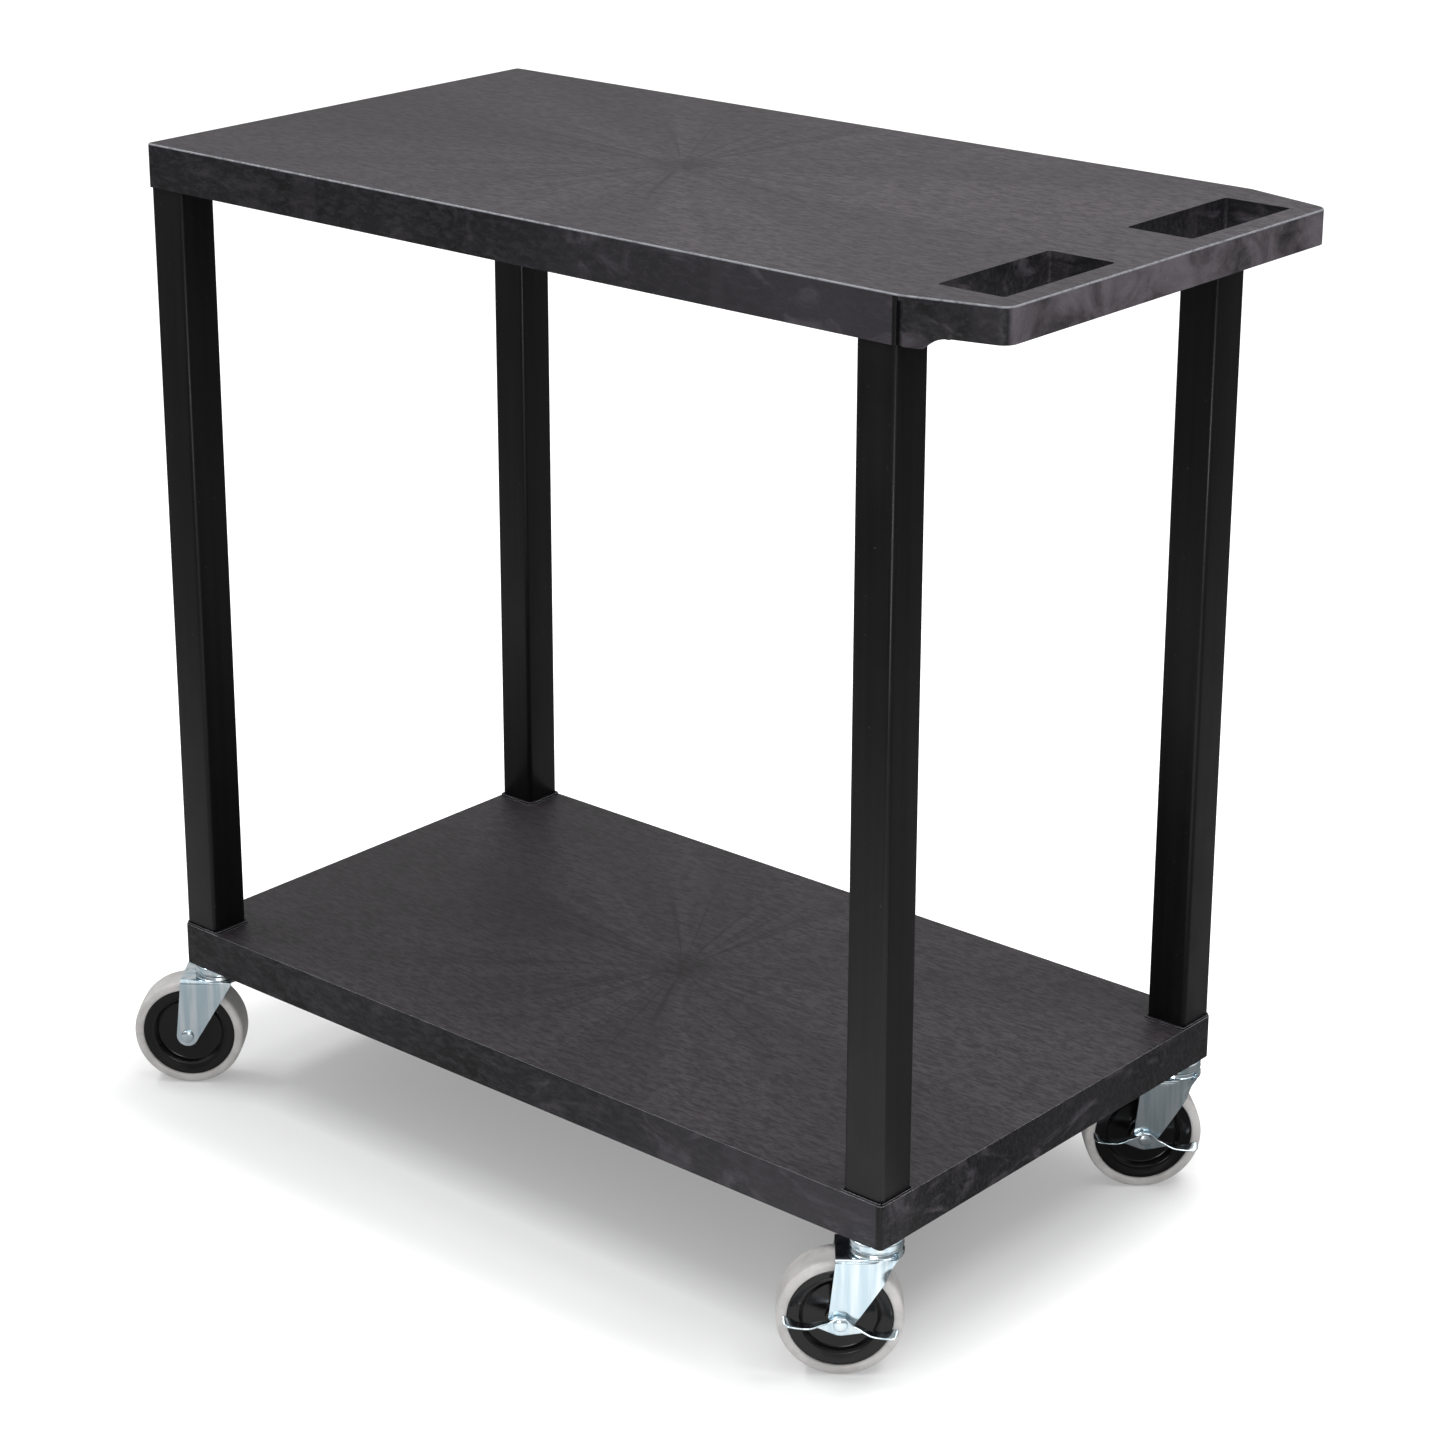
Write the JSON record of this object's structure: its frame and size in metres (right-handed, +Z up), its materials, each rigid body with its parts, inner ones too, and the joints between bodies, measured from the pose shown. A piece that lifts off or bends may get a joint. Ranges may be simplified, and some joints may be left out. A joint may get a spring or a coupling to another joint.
{
  "type": "rolling utility cart",
  "caption": "Flat-shelf rolling utility cart with a moulded push handle, square legs and swivel casters, some with side brakes.",
  "frame": {"origin": "on the floor, at the middle of the whole cart's outline, handle and wheels included", "axes": "+X towards the handle end along the shelves, +Y to the right-hand side as seen from the handle, +Z up"},
  "size_m": [0.9451, 0.5174, 0.882],
  "materials": {
    "shelf_plastic": "fine grained moulded plastic with faint flow marks",
    "leg_plastic": "smooth satin moulded plastic",
    "hub_plastic": "glossy moulded plastic",
    "tyre_rubber": "matte thermoplastic rubber",
    "zinc_steel": "bright zinc plating with a blue tint",
    "bar_steel": "plain galvanised tube",
    "polished_steel": "polished balls",
    "friction_pad": "pressed fibre"
  },
  "bodies": {
    "frame": {"top_deck": "shelf_plastic", "lower_shelf": "shelf_plastic", "deck_bars": "bar_steel", "shelf_bars": "bar_steel", "bar_screws": "zinc_steel", "leg_front_left": "leg_plastic", "stem_socket_front_left": "zinc_steel", "caster_stem_front_left": "zinc_steel", "raceway_cap_front_left": "zinc_steel", "leg_front_right": "leg_plastic", "stem_socket_front_right": "zinc_steel", "caster_stem_front_right": "zinc_steel", "raceway_cap_front_right": "zinc_steel", "leg_rear_left": "leg_plastic", "stem_socket_rear_left": "zinc_steel", "caster_stem_rear_left": "zinc_steel", "raceway_cap_rear_left": "zinc_steel", "leg_rear_right": "leg_plastic", "stem_socket_rear_right": "zinc_steel", "caster_stem_rear_right": "zinc_steel", "raceway_cap_rear_right": "zinc_steel"},
    "swivel_front_left": {"fork_front_left": "zinc_steel", "ball_ring_front_left": "polished_steel", "axle_bolt_front_left": "zinc_steel", "axle_nut_front_left": "zinc_steel", "axle_sleeve_front_left": "zinc_steel"},
    "wheel_front_left": {"hub_front_left": "hub_plastic", "tyre_front_left": "tyre_rubber"},
    "swivel_front_right": {"fork_front_right": "zinc_steel", "ball_ring_front_right": "polished_steel", "axle_bolt_front_right": "zinc_steel", "axle_nut_front_right": "zinc_steel", "axle_sleeve_front_right": "zinc_steel"},
    "wheel_front_right": {"hub_front_right": "hub_plastic", "tyre_front_right": "tyre_rubber"},
    "swivel_rear_left": {"fork_rear_left": "zinc_steel", "ball_ring_rear_left": "polished_steel", "axle_bolt_rear_left": "zinc_steel", "axle_nut_rear_left": "zinc_steel", "axle_sleeve_rear_left": "zinc_steel", "friction_disc_rear_left": "friction_pad"},
    "wheel_rear_left": {"hub_rear_left": "hub_plastic", "tyre_rear_left": "tyre_rubber"},
    "brake_rear_left": {"brake_pedal_rear_left": "zinc_steel"},
    "swivel_rear_right": {"fork_rear_right": "zinc_steel", "ball_ring_rear_right": "polished_steel", "axle_bolt_rear_right": "zinc_steel", "axle_nut_rear_right": "zinc_steel", "axle_sleeve_rear_right": "zinc_steel", "friction_disc_rear_right": "friction_pad"},
    "wheel_rear_right": {"hub_rear_right": "hub_plastic", "tyre_rear_right": "tyre_rubber"},
    "brake_rear_right": {"brake_pedal_rear_right": "zinc_steel"}
  },
  "joints": [
    {"name": "swivel_turn_front_left", "type": "hinge", "parent": "frame", "child": "swivel_front_left", "pos_m": [-0.40223, -0.1837, 0.1178], "axis": [0, 0, 1], "continuous": true},
    {"name": "wheel_spin_front_left", "type": "hinge", "parent": "swivel_front_left", "child": "wheel_front_left", "pos_m": [-0.4243, -0.20094, 0.0508], "axis": [0.6157, -0.788, 0], "continuous": true},
    {"name": "swivel_turn_front_right", "type": "hinge", "parent": "frame", "child": "swivel_front_right", "pos_m": [-0.40223, 0.2324, 0.1178], "axis": [0, 0, 1], "continuous": true},
    {"name": "wheel_spin_front_right", "type": "hinge", "parent": "swivel_front_right", "child": "wheel_front_right", "pos_m": [-0.42337, 0.21403, 0.0508], "axis": [0.6561, -0.7547, 0], "continuous": true},
    {"name": "swivel_turn_rear_left", "type": "hinge", "parent": "frame", "child": "swivel_rear_left", "pos_m": [0.36947, -0.1837, 0.1178], "axis": [0, 0, 1], "continuous": true},
    {"name": "wheel_spin_rear_left", "type": "hinge", "parent": "swivel_rear_left", "child": "wheel_rear_left", "pos_m": [0.34802, -0.2017, 0.0508], "axis": [0.6428, -0.766, 0], "continuous": true},
    {"name": "brake_press_rear_left", "type": "hinge", "parent": "swivel_rear_left", "child": "brake_rear_left", "pos_m": [0.34802, -0.2017, 0.0508], "axis": [0.6428, -0.766, 0], "range_deg": [0, 14]},
    {"name": "swivel_turn_rear_right", "type": "hinge", "parent": "frame", "child": "swivel_rear_right", "pos_m": [0.36947, 0.2324, 0.1178], "axis": [0, 0, 1], "continuous": true},
    {"name": "wheel_spin_rear_right", "type": "hinge", "parent": "swivel_rear_right", "child": "wheel_rear_right", "pos_m": [0.34932, 0.21295, 0.0508], "axis": [0.6947, -0.7193, 0], "continuous": true},
    {"name": "brake_press_rear_right", "type": "hinge", "parent": "swivel_rear_right", "child": "brake_rear_right", "pos_m": [0.34932, 0.21295, 0.0508], "axis": [0.6947, -0.7193, 0], "range_deg": [0, 14]}
  ]
}
